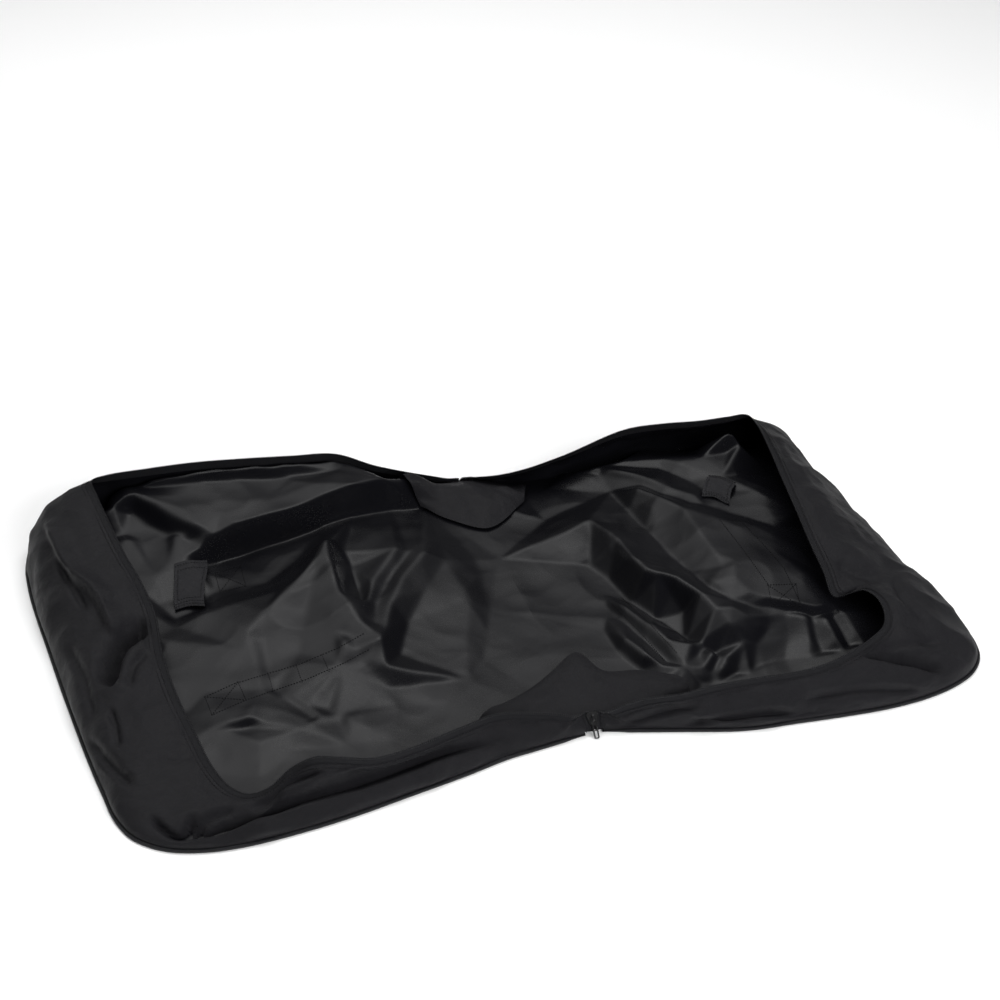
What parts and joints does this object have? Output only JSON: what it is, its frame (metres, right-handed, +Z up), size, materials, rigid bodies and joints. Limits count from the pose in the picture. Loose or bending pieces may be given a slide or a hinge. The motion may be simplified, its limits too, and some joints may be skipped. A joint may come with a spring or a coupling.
{
  "type": "soft bike travel bag",
  "caption": "Soft black travel bag for a folding bike, unzipped and laid open: two padded side panels with gusset walls, coated lining, coil zipper and webbing handles.",
  "frame": {"origin": "middle of the floor space that the opened bag's seams span, on the floor", "axes": "+X from the left half to the right half, across the fold seams; +Y from the near end, where the zipper starts, to the far end; +Z up, out of the open inside"},
  "size_m": [1.304, 0.8114, 0.1154],
  "materials": {
    "coated_lining": "polyurethane-coated woven lining, wet-looking gloss",
    "woven_cloth": "matte plain-weave outer face",
    "black_webbing": "ribbed webbing",
    "piped_binding": "bound and piped seam",
    "zip_tape": "knitted zipper tape",
    "zip_coil": "coiled nylon monofilament, satin",
    "zip_metal": "black enamelled die casting, satin"
  },
  "bodies": {
    "base": {"bottom_panel": "coated_lining", "fold_seam_left": "piped_binding", "fold_seam_right": "piped_binding", "near_zip_tape_left": "zip_tape", "near_zip_teeth_left": "zip_coil", "near_gore_left": "woven_cloth", "near_zip_tape_right": "zip_tape", "near_zip_teeth_right": "zip_coil", "near_gore_right": "woven_cloth", "near_zip_stop": "zip_metal", "near_end_flap": "woven_cloth", "far_zip_tape_left": "zip_tape", "far_zip_teeth_left": "zip_coil", "far_gore_left": "woven_cloth", "far_zip_tape_right": "zip_tape", "far_zip_teeth_right": "zip_coil", "far_gore_right": "woven_cloth", "far_zip_stop": "zip_metal", "far_end_flap": "woven_cloth"},
    "slider": {"slider_body": "zip_metal"},
    "puller": {"pull_tab": "zip_metal"},
    "left_half": {"left_panel": "coated_lining", "left_gusset": "woven_cloth", "left_zip_tape": "zip_tape", "left_zip_coil": "zip_coil", "left_piping": "piped_binding", "left_webbing_near": "black_webbing", "left_webbing_far": "black_webbing", "left_inner_tab": "black_webbing"},
    "left_handle": {"left_handle": "black_webbing"},
    "right_half": {"right_panel": "coated_lining", "right_gusset": "woven_cloth", "right_zip_tape": "zip_tape", "right_zip_coil": "zip_coil", "right_piping": "piped_binding", "right_webbing_near": "black_webbing", "right_webbing_far": "black_webbing", "right_inner_tab": "black_webbing"},
    "right_handle": {"right_handle": "black_webbing"}
  },
  "joints": [
    {"name": "left_fold", "type": "hinge", "parent": "base", "child": "left_half", "pos_m": [-0.09901, 0, 0.0028], "axis": [0, 1, 0], "range_deg": [0, 90]},
    {"name": "right_fold", "type": "hinge", "parent": "base", "child": "right_half", "pos_m": [0.20099, 0, 0.0028], "axis": [0, -1, 0], "range_deg": [0, 90]},
    {"name": "left_handle_swing", "type": "hinge", "parent": "left_half", "child": "left_handle", "pos_m": [-0.45008, 0.00879, 0], "axis": [0, -1, 0], "range_deg": [0, 170]},
    {"name": "right_handle_swing", "type": "hinge", "parent": "right_half", "child": "right_handle", "pos_m": [0.44432, -0.01121, 0], "axis": [0, 1, 0], "range_deg": [0, 170]},
    {"name": "slider_slide", "type": "slide", "parent": "base", "child": "slider", "axis": [0, 0.6428, 0.766], "range_m": [0, 0.006]},
    {"name": "pull_swing", "type": "hinge", "parent": "slider", "child": "puller", "pos_m": [0.05099, -0.31969, 0.02411], "axis": [-1, 0, 0], "range_deg": [0, 150]}
  ]
}
